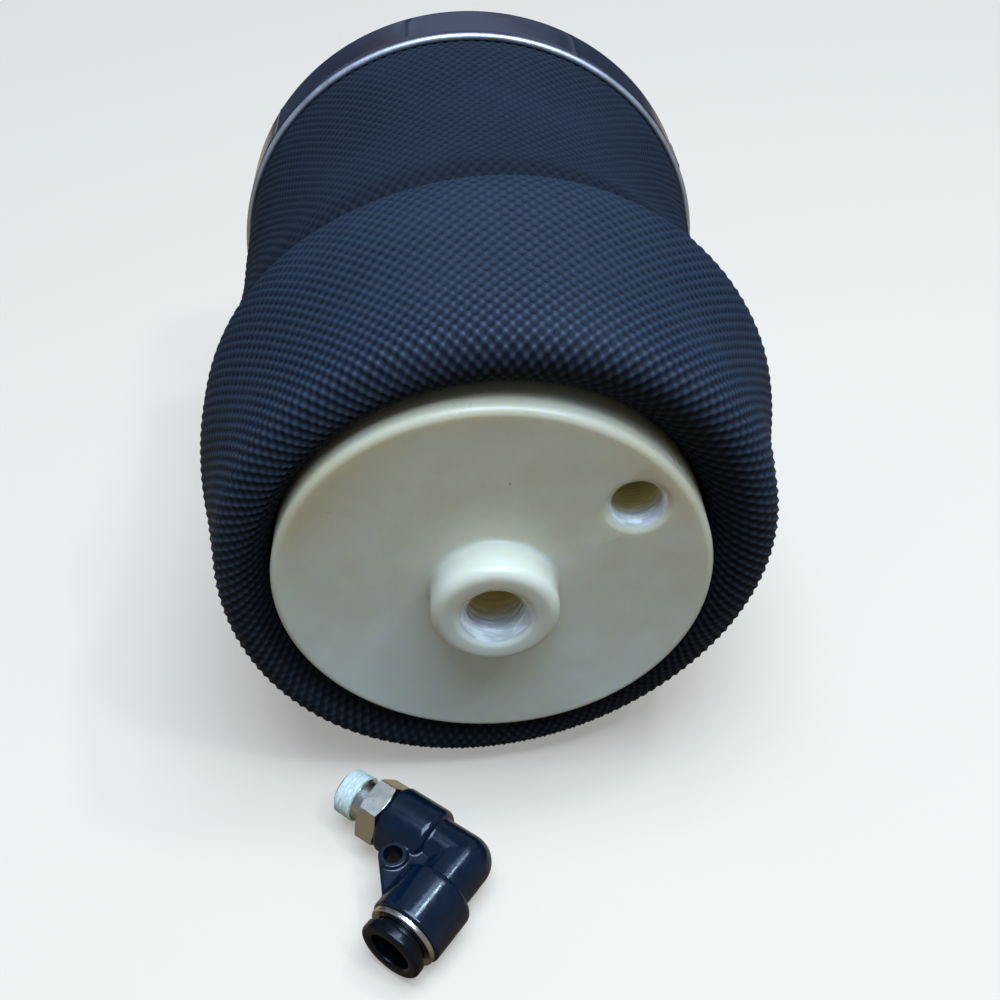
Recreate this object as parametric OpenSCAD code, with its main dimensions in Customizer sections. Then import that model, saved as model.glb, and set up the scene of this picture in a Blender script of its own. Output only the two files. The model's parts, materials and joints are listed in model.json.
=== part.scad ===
// Rolling-lobe air suspension spring, lying on its side, with its elbow air fitting beside it.
// Millimetres. The axis of the spring runs along Y: the seat face of the piston is at y = 0
// and faces -Y, the face of the top plate is at y = spring_len. +Z is up, the origin is on the axis.
// The spring lies on the plane z = -lie_r, and so does the fitting.

/* [Spring] */
// Length from the piston's seat face to the top plate's face
spring_len = 134.7; // [125:0.1:165]
// How far the spring closes before the bump stop meets the top plate
bump_travel = 12; // [6:1:20]

/* [Piston] */
// Diameter of the piston's side wall
piston_d = 80; // [66:1:96]
// Length of the moulded cup
cup_len = 60; // [50:1:66]
// Thickness of the cup's side wall
cup_wall = 4; // [3:0.1:5]
// Thickness of the cup's floor
cup_floor = 10; // [8:0.5:12]
// Rounding of the edge between the seat face and the side wall
face_round = 3.2; // [0.5:0.1:4]
// Radius of the fillets inside the cup and at the foot of the boss
mould_fillet = 0.8; // [0.4:0.1:1.5]
// Diameter of the locating boss
boss_d = 23; // [20:0.5:28]
// Height of the locating boss
boss_h = 8; // [4:0.1:9]
// Rounding of the boss's rim
boss_round = 2.2; // [0.5:0.1:2.6]
// Drill diameter of the fixing thread in the boss
fix_hole_d = 10.2; // [8.5:0.1:12]
// Width of the countersink at the mouth of the fixing thread
fix_mouth_d = 14.2; // [12.5:0.1:16]
// Depth of the fixing thread behind the seat face
fix_depth = 20; // [14:1:24]
// Distance from the axis to the air port
port_reach = 30.8; // [26:0.1:32]
// Direction of the air port round the axis, from +X towards +Z
port_turn = 36; // [0:0.5:90]
// Drill diameter of the air port's thread
port_hole_d = 8.7; // [7:0.1:9]
// Width of the countersink at the mouth of the air port
port_mouth_d = 13.4; // [11:0.1:14]
// Length of the air port's thread
port_len = 14; // [12:0.5:18]
// Number of ribs inside the cup
cup_ribs = 6; // [4:1:8]
// Thickness of the moulded ribs
rib_t = 2.4; // [1.6:0.1:3.2]

/* [Piston cap] */
// Thickness of the cap's deck
deck_t = 5; // [4:0.5:7]
// How far the neck is set in from the piston's side wall
neck_inset = 7; // [6.5:0.1:8]
// Wall of the neck
neck_wall = 3.6; // [3:0.1:5]
// Length of the neck that the sleeve is clamped on
neck_len = 15; // [12:0.5:18]
// Number of air holes through the deck
air_holes = 6; // [4:1:8]
// Diameter of the air holes
air_hole_d = 7; // [4:0.5:8]

/* [Bellows] */
// Thickness of the rubber sleeve
sleeve_t = 2.4; // [1.8:0.1:3]
// Width of the rolled lobe, outside to outside
lobe_w = 11.8; // [10.5:0.1:16]
// Distance of the rolled lobe's front behind the seat face
lobe_set = 2.1; // [1:0.1:6]
// How far the bulge stands out beyond the lobe
bulge_out = 5.4; // [2.5:0.1:6]
// Distance of the bulge from the seat face
bulge_y = 41; // [34:1:50]
// How far the waist stands out beyond the lobe
waist_out = 1; // [-0.5:0.1:1.5]
// Distance of the waist from the bulge
waist_run = 28; // [14:1:32]
// How far the sleeve stands out beyond the lobe under the upper crimp ring
crimp_out = 2.5; // [1:0.1:3]
// Free space between the sleeve and what it lies on
slip = 0.3; // [0.1:0.05:0.5]

/* [Crimp rings] */
// Sheet thickness of both crimp rings
ring_t = 1.4; // [1:0.1:2]
// Width of the upper crimp ring
ring_w = 16.4; // [11:0.1:18]
// Width of the lower crimp ring
lower_ring_w = 11; // [9:0.5:13]
// How far the upper ring's rear flange reaches in over the top plate
flange_in = 4.4; // [3:0.1:6]
// Free space between the upper ring and the sleeve
ring_gap = 0.2; // [0.1:0.05:0.4]

/* [Top plate] */
// Thickness of the plate's web
web_t = 5; // [4:0.5:7]
// Thickness of the plate's rim
rim_t = 4.7; // [4:0.1:6]
// Number of ribs on the plate
plate_ribs = 12; // [8:2:16]
// Diameter of the plate's hub
hub_d = 26; // [20:1:32]
// Distance between the two blind nuts
nut_span = 70; // [60:1:74]
// Outer diameter of a blind nut
nut_d = 12; // [11:0.5:13]
// Length of a blind nut
nut_len = 16; // [14:0.5:18]
// Drill diameter of the thread in a blind nut
nut_hole_d = 6.8; // [5:0.1:7.5]
// Depth of the thread in a blind nut
nut_depth = 13; // [10:0.5:13.5]

/* [Bump stop] */
// Diameter of the bump stop at its foot
bump_d = 31; // [28:1:34]
// Height of the pad that it stands on
bump_pad_h = 6; // [4:0.5:9]
// Diameter of its fixing screw
screw_d = 8; // [6:0.5:9]

/* [Air fitting] */
// Distance from the end of the thread to the tube's axis
stem_reach = 29; // [26:0.5:33]
// Outer diameter of the taper thread
thread_d = 9.73; // [9:0.01:10.5]
// Length of the thread
thread_len = 4.6; // [4:0.1:6]
// Length of the bare neck between thread and hexagon
thread_relief = 2.5; // [0.5:0.1:3]
// Width of the hexagon across its flats
hex_af = 12; // [11.5:0.1:13]
// Length of the hexagon
hex_len = 4.7; // [4:0.1:5]
// Diameter of the body round the swivel
swivel_d = 13.7; // [13:0.1:16]
// Diameter of the elbow itself
elbow_d = 11; // [10:0.1:11.5]
// Diameter of the tube socket
socket_d = 15; // [14.5:0.1:17]
// Distance from the elbow's centre to the end of the socket
socket_len = 18; // [17.5:0.1:22]
// Diameter of the air tube
tube_d = 8; // [6:0.1:8.4]
// Diameter of the swivel stem inside the body
stem_d = 9.2; // [8.4:0.1:9.6]
// Bore of the air passage
passage_d = 5.4; // [4:0.1:6]
// Diameter of the hole in the fixing lug
lug_hole_d = 3.8; // [3:0.1:4.4]
// How far the release ring can be pushed in
release_travel = 1; // [0.5:0.1:1.2]
// Radial running clearance of turning and sliding pieces
run_gap = 0.05; // [0.02:0.01:0.1]
// Place of the elbow's centre beside the spring, along X
fitting_x = -7.3; // [-12:0.1:-4]
// Place of the elbow's centre beside the spring, along Y
fitting_y = -25.2; // [-34:0.1:-24]
// Direction of the thread on the table, from +X towards +Y
fitting_turn = 142; // [135:1:155]

/* [Hidden] */
$fn = 96;
eps = 0.01;

// Radii of the piston and of the sleeve's middle line
piston_r = piston_d / 2;
neck_r = piston_r - neck_inset;
neck_line = neck_r + slip / 2 + sleeve_t / 2;
wrap_line = piston_r + slip + sleeve_t / 2;
lobe_r = piston_r + slip + lobe_w;
lobe_line = lobe_r - sleeve_t / 2;
crimp_r = lobe_r + crimp_out;
lie_r = crimp_r + ring_gap + ring_t;

// Heights along the axis
lobe_y = lobe_set + lobe_w / 2;
waist_y = bulge_y + waist_run;
deck_y = cup_len + deck_t;
neck_top = deck_y + neck_len;
sleeve_lead = 1.5;
fold_y = neck_top + 0.5;
ring_y = spring_len - ring_w;
sleeve_end = spring_len - ring_t - 0.8;
web_y = ring_y - 1;
plate_r = crimp_r - sleeve_t - ring_gap;

// Piston: walls round the threads, the cap's spigot in the cup, the barbs under the sleeve
column_wall = 6.5;
column_cap = 5;
port_wall = 3;
spigot_len = 5;
spigot_wall = 3;
barb = 0.4;
barb_pitch = 2.8;
barbs = 4;

// Top plate: barbs under the sleeve, walls of the nut bosses, dish in the hub
plate_barbs = 3;
plate_barb_pitch = 3;
nut_wall = 3;
hub_dish = 3;
hub_rim = 4;

// Bump stop
pad_y = deck_y + bump_pad_h;
bump_top = web_y - bump_travel;
bump_r = bump_d / 2;
bump_foot = 5;
bump_waist = 2.5;
bump_nose = 3;
bump_lip = 12;
washer_t = 2;
washer_lap = 6;
screw_head = 5.3;
screw_bite = 9;
limiter_wall = 1.8;
washer_r = screw_d / 2 + washer_lap;
// How far two shapes of one piece reach into each other
bite = 1;

// Air fitting, in its own frame: the thread along +X, the tube along +Y, the elbow's centre at 0
tube_r = tube_d / 2;
hex_x = stem_reach - thread_len - thread_relief - hex_len;
stem_in = 7;
swivel_start = 6.6;
socket_start = 7.5;
hex_turn = 20;
stem_r = stem_d / 2;
groove_x = 11.5;
groove_w = 2;
groove_depth = 1.1;
thread_root = thread_d / 2 - 0.35;
seat_y = 3.5;
chamber_y = 8.6;
chamber_r = 6;
seal_w = 2.5;
spacer_w = 1.2;
claw_y = chamber_y + seal_w + spacer_w;
claw_h = 2;
claw_t = 0.3;
claws = 8;
guide_y = claw_y + claw_h + 0.1;
guide_wall = 0.75;
guide_lip_r = socket_d / 2 - 0.5;
guide_lip = 1.1;
sleeve_r = chamber_r - guide_wall - run_gap;
release_y = socket_len + guide_lip + release_travel + 0.2;
release_h = 2.4;
release_r = 6.5;
lug_wall = 0.95;
lug_r = lug_hole_d / 2 + lug_wall;
lug_x = 10.3;
lug_y = swivel_d / 2 + 1.35;
lug_h = 8;
web_h = 6;
web_end = lug_y + 7.4;

// Points of an arc in a flat profile, from angle a0 to a1
function arc(c, r, a0, a1, n) = [for (i = [0:n]) c + r * [cos(a0 + (a1 - a0) * i / n), sin(a0 + (a1 - a0) * i / n)]];
// A soft change from one radius to another between two heights, without its first point
function swell(r0, r1, y0, y1, n) =
    [for (i = [1:n]) [r0 + (r1 - r0) * (1 - cos(180 * i / n)) / 2, y0 + (y1 - y0) * i / n]];
// A line moved sideways by d, to the right of its own direction
function shifted(line, d) = [for (i = [0:len(line) - 1])
    let (a = line[max(i - 1, 0)], b = line[min(i + 1, len(line) - 1)], t = (b - a) / norm(b - a))
    line[i] + d * [t[1], -t[0]]];
function backwards(line) = [for (i = [len(line) - 1:-1:0]) line[i]];

// Middle line of the sleeve: up the neck, over the fold, down the piston, round the lobe, out to the ring
outer_run = concat([[lobe_line, lobe_y]],
    swell(lobe_line, lobe_line + bulge_out, lobe_y, bulge_y, 10),
    swell(lobe_line + bulge_out, lobe_line + waist_out, bulge_y, waist_y, 10),
    swell(lobe_line + waist_out, lobe_line + crimp_out, waist_y, ring_y - 2, 8),
    [[lobe_line + crimp_out, sleeve_end]]);
sleeve_run = concat([[neck_line, deck_y + sleeve_lead]],
    arc([(neck_line + wrap_line) / 2, fold_y], (wrap_line - neck_line) / 2, 180, 0, 10),
    arc([(wrap_line + lobe_line) / 2, lobe_y], (lobe_line - wrap_line) / 2, 180, 345, 14),
    outer_run);

// Turns what stands along Z to stand along Y
module along_y(y = 0) { translate([0, y, 0]) rotate([-90, 0, 0]) children(); }
module turned(points) { along_y() rotate_extrude() polygon(points); }
module rod(r, y0, y1) { along_y(y0) cylinder(r = r, h = y1 - y0); }
module cone(r0, r1, y0, y1) { along_y(y0) cylinder(r1 = r0, r2 = r1, h = y1 - y0); }
module hoop(r_in, r_out, y0, y1) { turned([[r_in, y0], [r_out, y0], [r_out, y1], [r_in, y1]]); }
// Copies spread evenly round the axis
module round_axis(n, start = 0) { for (i = [0:n - 1]) rotate([0, start + i * 360 / n, 0]) children(); }
module at_port() { rotate([0, -port_turn, 0]) translate([port_reach, 0, 0]) children(); }

module piston_cup() {
    bore = piston_r - cup_wall;
    column_r = fix_hole_d / 2 + column_wall;
    column_end = fix_depth + column_cap;
    color("#c9c7ae") difference() {
        union() {
            turned(concat([[0, 0]],
                arc([piston_r - face_round, face_round], face_round, -90, 0, 6),
                [[piston_r, cup_len], [bore, cup_len]],
                arc([bore - mould_fillet, cup_floor + mould_fillet], mould_fillet, 0, -90, 4),
                [[0, cup_floor]]));
            turned(concat([[0, bite], [boss_d / 2 + mould_fillet, bite]],
                arc([boss_d / 2 + mould_fillet, -mould_fillet], mould_fillet, 90, 180, 4),
                arc([boss_d / 2 - boss_round, boss_round - boss_h], boss_round, 0, -90, 6),
                [[0, -boss_h]]));
            rod(column_r, cup_floor - bite, column_end);
            round_axis(cup_ribs) translate([column_r - bite, cup_floor - bite, -rib_t / 2])
                cube([bore - column_r + 2 * bite, column_end - cup_floor, rib_t]);
            intersection() {
                at_port() rod(port_hole_d / 2 + port_wall, cup_floor - bite, port_len);
                rod(bore + bite, 0, cup_len);
            }
        }
        rod(fix_hole_d / 2, -boss_h - 1, fix_depth);
        cone(fix_hole_d / 2, 0, fix_depth - eps, fix_depth + fix_hole_d / 4);
        cone(fix_mouth_d / 2, fix_hole_d / 2, -boss_h - eps, (fix_mouth_d - fix_hole_d) / 2 - boss_h);
        at_port() {
            rod(port_hole_d / 2, -1, port_len + 1);
            cone(port_mouth_d / 2, port_hole_d / 2, -eps, (port_mouth_d - port_hole_d) / 2);
        }
    }
}

module piston_cap() {
    bore = neck_r - neck_wall;
    spigot_r = piston_r - cup_wall - run_gap;
    pad_r = bump_r + 1;
    color("#bdbba2") difference() {
        union() {
            turned(concat([[0, cup_len], [piston_r, cup_len]],
                arc([piston_r - deck_t / 2, deck_y - deck_t / 2], deck_t / 2, 0, 90, 5),
                [[neck_r, deck_y]],
                [for (i = [1:barbs]) each [[neck_r, deck_y + i * barb_pitch - barb],
                                           [neck_r - barb, deck_y + i * barb_pitch]]],
                [[neck_r - barb, neck_top], [bore, neck_top], [bore, deck_y], [0, deck_y]]));
            hoop(spigot_r - spigot_wall, spigot_r, cup_len - spigot_len, cup_len + bite);
            rod(pad_r, cup_len + bite, pad_y);
            rod(screw_d / 2 + spigot_wall + 1, pad_y - screw_bite - spigot_wall, cup_len + bite);
        }
        rod(screw_d / 2 + run_gap, pad_y - screw_bite, pad_y + 1);
        round_axis(air_holes) translate([(pad_r + bore) / 2, 0, 0])
            rod(air_hole_d / 2, cup_len - 1, deck_y + 1);
    }
}

module bellows() {
    skin = shifted(outer_run, sleeve_t / 2);
    color("#27304a") union() {
        intersection() {
            turned(concat(shifted(sleeve_run, sleeve_t / 2), backwards(shifted(sleeve_run, -sleeve_t / 2))));
            table_slab(spring_len);
        }
        intersection() {
            turned(concat([[0, lobe_y]], skin, [[0, sleeve_end]]));
            table_slab(sleeve_t);
        }
    }
}

// The space between the table and a height above it
module table_slab(height) {
    translate([-spring_len, -spring_len, -lie_r]) cube([2 * spring_len, 3 * spring_len, height]);
}

module lower_crimp_ring() {
    r = neck_line + sleeve_t / 2 + run_gap;
    y0 = deck_y + 2;
    y1 = y0 + lower_ring_w;
    color("#8d9097") turned(concat([[r, y0], [r + ring_t, y0]],
        arc([r + ring_t / 2, y1 - ring_t / 2], ring_t / 2, 0, 180, 8)));
}

module bump_stop() {
    hole = screw_d / 2 + limiter_wall + run_gap;
    color("#1d1e22") turned(concat(
        [[hole, pad_y], [bump_r, pad_y], [bump_r, pad_y + bump_foot]],
        swell(bump_r, bump_r - bump_waist, pad_y + bump_foot, pad_y + bump_lip, 5),
        swell(bump_r - bump_waist, bump_r - 1, pad_y + bump_lip, bump_top - 2 * bump_nose, 5),
        arc([bump_r - 1 - bump_nose, bump_top - bump_nose], bump_nose, 0, 90, 5),
        [[washer_r + 0.5, bump_top], [washer_r + 0.5, pad_y + bump_lip], [hole, pad_y + bump_lip]]));
}

module bump_stop_sleeve() {
    color("#9a9ca0") hoop(screw_d / 2 + run_gap, screw_d / 2 + limiter_wall, pad_y, pad_y + bump_lip);
}

module bump_stop_washer() {
    y0 = pad_y + bump_lip;
    color("#a9abaf") hoop(screw_d / 2 + run_gap, washer_r, y0, y0 + washer_t);
}

module bump_stop_screw() {
    y0 = pad_y + bump_lip + washer_t;
    color("#b7b9bd") union() {
        rod(screw_d / 2, pad_y - screw_bite + 1, y0 + 1);
        along_y(y0) cylinder(d = screw_d * 1.88, h = screw_head, $fn = 6);
    }
}

module top_plate() {
    rebate = ring_t + 0.2;
    land_r = crimp_r + ring_gap - flange_in - 0.2;
    rim_r = plate_r - rim_t;
    color("#b9b8a4") difference() {
        union() {
            turned(concat([[0, web_y], [plate_r - 1, web_y], [plate_r, web_y + 1]],
                [for (i = [1:plate_barbs]) let (y = web_y + i * plate_barb_pitch)
                    each [[plate_r, y], [plate_r - barb, y + barb], [plate_r, y + 2 * barb]]],
                [[plate_r, spring_len - rebate], [land_r, spring_len - rebate], [land_r, spring_len],
                 [rim_r, spring_len], [rim_r, web_y + web_t], [0, web_y + web_t]]));
            rod(hub_d / 2, web_y + bite, spring_len);
            round_axis(2) translate([nut_span / 2, 0, 0])
                rod(nut_d / 2 + nut_wall, spring_len - nut_len - nut_wall, spring_len);
            round_axis(plate_ribs) translate([hub_d / 2 - bite, web_y + bite, -rib_t / 2])
                cube([rim_r - hub_d / 2 + 2 * bite, spring_len - web_y - bite - 0.5, rib_t]);
        }
        round_axis(2) translate([nut_span / 2, 0, 0]) rod(nut_d / 2, spring_len - nut_len, spring_len + 1);
        cone(0, hub_d / 2 - hub_rim, spring_len - hub_dish, spring_len + eps);
    }
}

module upper_crimp_ring() {
    r_in = crimp_r + ring_gap;
    r_out = r_in + ring_t;
    color("#7d8087") turned(concat([[r_in, ring_y]],
        arc([r_out - ring_t, ring_y + ring_t], ring_t, -80, 0, 5),
        arc([r_out - 1.8, spring_len - 1.8], 1.8, 0, 90, 5),
        [[r_in - flange_in, spring_len], [r_in - flange_in, spring_len - ring_t],
         [r_in, spring_len - ring_t]]));
}

module blind_nuts() {
    knurl = 0.35;
    color("#c9a85c") round_axis(2) translate([nut_span / 2, 0, 0]) difference() {
        rod(nut_d / 2, spring_len - nut_len, spring_len);
        for (y = [4, 9]) hoop(nut_d / 2 - knurl, nut_d, spring_len - y - 1.5, spring_len - y);
        rod(nut_hole_d / 2, spring_len - nut_depth, spring_len + 1);
        cone(nut_hole_d / 2, nut_hole_d / 2 + 1, spring_len - 1, spring_len + eps);
    }
}

// Puts a piece of the air fitting where it lies on the table
module on_table() {
    translate([fitting_x, fitting_y, socket_d / 2 - lie_r]) rotate([0, 0, fitting_turn]) children();
}
// Turns what stands along Z to stand along the thread
module along_x(x = 0) { translate([x, 0, 0]) rotate([0, 90, 0]) children(); }
module bar(r, x0, x1) { along_x(x0) cylinder(r = r, h = x1 - x0); }

module nipple() {
    tip = stem_reach;
    color("#b5b2a6") on_table() difference() {
        union() {
            bar(stem_r, stem_in, hex_x + 1);
            along_x(hex_x) intersection() {
                rotate([0, 0, hex_turn]) cylinder(d = hex_af / cos(30), h = hex_len, $fn = 6);
                cylinder(r1 = hex_af / 2 + 0.35, r2 = hex_af / 2 + 0.35 + hex_len, h = hex_len);
            }
            bar(thread_root - 0.3, hex_x + hex_len - 1, tip - thread_len);
            bar(thread_root, tip - thread_len, tip - 0.6);
            along_x(tip - 0.6) cylinder(r1 = thread_root, r2 = thread_root - 0.5, h = 0.6);
        }
        bar(passage_d / 2, stem_in - 1, tip + 1);
        along_x(groove_x) difference() {
            cylinder(r = stem_r + 1, h = groove_w);
            translate([0, 0, -1]) cylinder(r = stem_r - groove_depth, h = groove_w + 2);
        }
    }
}

module thread_sealant() {
    color("#dfe9ea") on_table() along_x(stem_reach - thread_len) difference() {
        cylinder(r = thread_d / 2, h = thread_len - 0.6);
        translate([0, 0, -1]) cylinder(r = thread_root, h = thread_len + 2);
    }
}

module swivel_seal() {
    section_r = (groove_depth + run_gap / 2) / 2;
    color("#15161a") on_table() along_x(groove_x + groove_w / 2)
        rotate_extrude() translate([stem_r + run_gap / 2 - section_r, 0]) circle(r = section_r, $fn = 32);
}

module elbow_body() {
    edge = 1.1;
    r = swivel_d / 2;
    face_x = hex_x - 0.2;
    color("#161d2b") on_table() difference() {
        union() {
            along_x() rotate_extrude() polygon(concat(
                [[0, 0], [elbow_d / 2, 0], [elbow_d / 2, swivel_start]],
                arc([r - edge, swivel_start + edge], edge, -90, 0, 5),
                arc([r - edge / 2, face_x - edge / 2], edge / 2, 0, 90, 3), [[0, face_x]]));
            sphere(d = elbow_d);
            along_y() rotate_extrude() polygon(concat(
                [[0, 0], [elbow_d / 2, 0], [elbow_d / 2, socket_start]],
                arc([socket_d / 2 - edge, socket_start + edge], edge, -90, 0, 5),
                arc([socket_d / 2 - 0.4, socket_len - 0.4], 0.4, 0, 90, 3), [[0, socket_len]]));
            translate([lug_x, lug_y, -lug_h / 2]) cylinder(r = lug_r, h = lug_h);
            translate([0, 0, -web_h / 2]) linear_extrude(web_h)
                polygon([[elbow_d / 2 - 1, elbow_d / 2 - 1], [lug_x, r - 1],
                         [lug_x, lug_y] + 0.7 * [lug_r, lug_r], [socket_d / 2 - 0.5, web_end]]);
        }
        bar(stem_r + run_gap, stem_in - 0.5, hex_x + 1);
        bar(passage_d / 2, 0, stem_in);
        sphere(d = passage_d);
        rod(passage_d / 2, 0, seat_y + 1);
        rod(tube_r + run_gap, seat_y, chamber_y + 1);
        rod(chamber_r, chamber_y, socket_len + 1);
        translate([lug_x, lug_y, -lug_h]) cylinder(d = lug_hole_d, h = 2 * lug_h);
    }
}

module tube_seal() {
    color("#15161a") on_table() hoop(tube_r + 2 * run_gap, chamber_r, chamber_y, chamber_y + seal_w);
}

module seal_spacer() {
    y0 = chamber_y + seal_w;
    color("#2a2c31") on_table() hoop(tube_r + 4 * run_gap, chamber_r, y0, y0 + spacer_w);
}

module collet() {
    inner = tube_r + 4 * run_gap;
    color("#cfd2d6") on_table() difference() {
        turned([[inner, claw_y], [inner + claw_t, claw_y], [chamber_r, claw_y + claw_h - 0.3],
                [chamber_r, claw_y + claw_h], [chamber_r - claw_t, claw_y + claw_h]]);
        round_axis(claws) translate([0, claw_y - 1, -0.3]) cube([chamber_r - 1, claw_h + 0.4, 0.6]);
    }
}

module guide_ring() {
    color("#c8c2b4") on_table() turned([
        [chamber_r - guide_wall, guide_y], [chamber_r, guide_y], [chamber_r, socket_len],
        [guide_lip_r, socket_len], [guide_lip_r, socket_len + guide_lip - 0.4],
        [guide_lip_r - 0.4, socket_len + guide_lip], [chamber_r - guide_wall, socket_len + guide_lip]]);
}

module release_ring() {
    inner = tube_r + 3 * run_gap;
    nose_y = claw_y + claw_h + release_travel - 0.6;
    top = release_y + release_h;
    color("#14161c") on_table() turned([
        [inner, nose_y], [sleeve_r - 0.5, nose_y], [sleeve_r, nose_y + 0.6], [sleeve_r, release_y],
        [release_r - 0.3, release_y], [release_r, release_y + 0.4], [release_r, top - 0.5],
        [release_r - 0.5, top], [inner + 0.6, top], [inner, top - 0.6]]);
}

piston_cup();
piston_cap();
bellows();
lower_crimp_ring();
bump_stop();
bump_stop_sleeve();
bump_stop_washer();
bump_stop_screw();
top_plate();
upper_crimp_ring();
blind_nuts();
nipple();
thread_sealant();
swivel_seal();
elbow_body();
tube_seal();
seal_spacer();
collet();
guide_ring();
release_ring();
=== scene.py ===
"""A rolling-lobe air spring with its elbow fitting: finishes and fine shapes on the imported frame.

Shapes are worked out in millimetres. A turned shape is a profile of (radius, height) points round
its own +Z axis. AXIS_Y or AXIS_X lays it along the spring or the thread, and finish_mesh makes
metres of it.
"""
import json
import math
from contextlib import contextmanager

import bmesh
import bpy
import numpy as np
from mathutils import Matrix, Vector


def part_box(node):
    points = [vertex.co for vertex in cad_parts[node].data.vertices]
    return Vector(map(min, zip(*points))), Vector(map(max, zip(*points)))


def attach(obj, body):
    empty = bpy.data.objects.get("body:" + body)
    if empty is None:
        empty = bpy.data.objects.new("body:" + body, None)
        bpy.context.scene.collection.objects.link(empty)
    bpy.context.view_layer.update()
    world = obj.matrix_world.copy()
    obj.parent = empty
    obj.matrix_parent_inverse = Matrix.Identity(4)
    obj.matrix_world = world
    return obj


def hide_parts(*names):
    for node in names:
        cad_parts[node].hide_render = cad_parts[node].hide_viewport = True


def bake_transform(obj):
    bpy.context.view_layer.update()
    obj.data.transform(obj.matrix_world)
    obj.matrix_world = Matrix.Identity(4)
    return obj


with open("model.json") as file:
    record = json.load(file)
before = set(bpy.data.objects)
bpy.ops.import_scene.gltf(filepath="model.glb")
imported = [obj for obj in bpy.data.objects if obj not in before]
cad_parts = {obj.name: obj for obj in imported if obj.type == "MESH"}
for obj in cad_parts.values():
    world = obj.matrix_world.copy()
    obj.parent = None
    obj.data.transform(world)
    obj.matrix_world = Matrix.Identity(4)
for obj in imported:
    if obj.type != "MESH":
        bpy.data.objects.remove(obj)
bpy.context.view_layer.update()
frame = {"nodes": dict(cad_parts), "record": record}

MM = 0.001
MICRON = 1e-6
TAU = 2 * math.pi


# Sizes, read from the frame

def box(node):
    """A node's lowest and highest corner, in millimetres."""
    low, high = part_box(node)
    return [v / MM for v in low], [v / MM for v in high]


def mount(name):
    """A mount of the record: its sizes, its place in millimetres and its axis."""
    found = next(m for m in frame["record"]["mounts"] if m["name"] == name)
    return found["dims"], Vector(found["pos_m"]) / MM, Vector(found["axis"])


cup_low, cup_high = box("piston_cup")
sleeve_low, sleeve_high = box("bellows")
ring_low, ring_high = box("upper_crimp_ring")
nut_low, nut_high = box("blind_nuts")
PISTON_R = cup_high[0]
CUP_END = cup_high[1]
BOSS_FRONT = cup_low[1]
TABLE_Z = sleeve_low[2]
LOBE_FRONT = sleeve_low[1]
SLEEVE_END = sleeve_high[1]
RING_R = ring_high[0]
RING_FRONT = ring_low[1]
TOP_FACE = ring_high[1]
NUT_R = nut_high[2]
NUT_FRONT, NUT_BACK = nut_low[1], nut_high[1]
NUT_SPAN = mount("top_nuts")[0]["spacing_x_mm"] / 2
PITCH_M12, PITCH_M8, PITCH_TAPER = 1.75, 1.25, 0.907    # fixing hole, nuts, air threads


# Mesh helpers

AXIS_Y = Matrix.Rotation(-math.pi / 2, 4, "X")
AXIS_X = Matrix.Rotation(math.pi / 2, 4, "Y")
AXIS_Z = Matrix.Identity(4)
TINY = 0.001        # points and faces closer than this are one


@contextmanager
def editing(mesh):
    """A mesh opened for bmesh operations and written back after them."""
    work = bmesh.new()
    work.from_mesh(mesh)
    yield work
    work.to_mesh(mesh)
    work.free()


def in_scene(name, data):
    """A new object in the scene."""
    obj = bpy.data.objects.new(name, data)
    bpy.context.scene.collection.objects.link(obj)
    return obj


def raw_mesh(name, verts, faces):
    mesh = bpy.data.meshes.new(name)
    mesh.from_pydata([tuple(v) for v in verts], [], faces)
    return mesh


def moved(mesh, matrix):
    mesh.transform(matrix)
    return mesh


def shifted(mesh, x, y, z=0):
    return moved(mesh, Matrix.Translation((x, y, z)))


def outward(mesh):
    """The mesh with its normals turned outward."""
    with editing(mesh) as work:
        bmesh.ops.recalc_face_normals(work, faces=work.faces)
    return mesh


def merged(name, meshes):
    """One mesh that holds several."""
    out = bpy.data.meshes.new(name)
    with editing(out) as work:
        for mesh in meshes:
            work.from_mesh(mesh)
    return out


def triangles(mesh):
    """The mesh in triangles, without doubled points, slivers or flaps."""
    with editing(mesh) as work:
        for _ in range(3):
            bmesh.ops.remove_doubles(work, verts=work.verts, dist=TINY)
            bmesh.ops.dissolve_degenerate(work, edges=work.edges, dist=TINY)
            bmesh.ops.triangulate(work, faces=work.faces)
        alike = {}     # a flap is two faces on the same points
        for face in work.faces:
            alike.setdefault(frozenset(face.verts), []).append(face)
        flaps = [face for faces in alike.values() if len(faces) > 1 for face in faces]
        bmesh.ops.delete(work, geom=flaps, context="FACES")
    return mesh


def baked(obj, helpers=()):
    """The object's mesh with its modifiers applied; the object and its helpers are removed."""
    bpy.context.view_layer.update()
    graph = bpy.context.evaluated_depsgraph_get()
    mesh = bpy.data.meshes.new_from_object(obj.evaluated_get(graph))
    for old in [obj, *helpers]:
        bpy.data.objects.remove(old)
    return mesh


def cut(mesh, tools, operation="DIFFERENCE"):
    """The mesh after exact booleans with other meshes, in clean triangles."""
    base = in_scene("cut_base", triangles(mesh))
    helpers = [in_scene("cut_tool", triangles(tool)) for tool in tools]
    for helper in helpers:
        step = base.modifiers.new("cut", "BOOLEAN")
        step.operation = operation
        step.solver = "EXACT"
        step.object = helper
    return triangles(baked(base, helpers))


def softened(mesh, voxel, rounds):
    """The mesh remade in small even faces and relaxed, so that edges and corners turn round."""
    obj = in_scene("soft", mesh)
    remesh = obj.modifiers.new("remesh", "REMESH")
    remesh.mode = "VOXEL"
    remesh.voxel_size = voxel
    relax = obj.modifiers.new("relax", "SMOOTH")
    relax.factor = 0.5
    relax.iterations = rounds
    return baked(obj)


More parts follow.
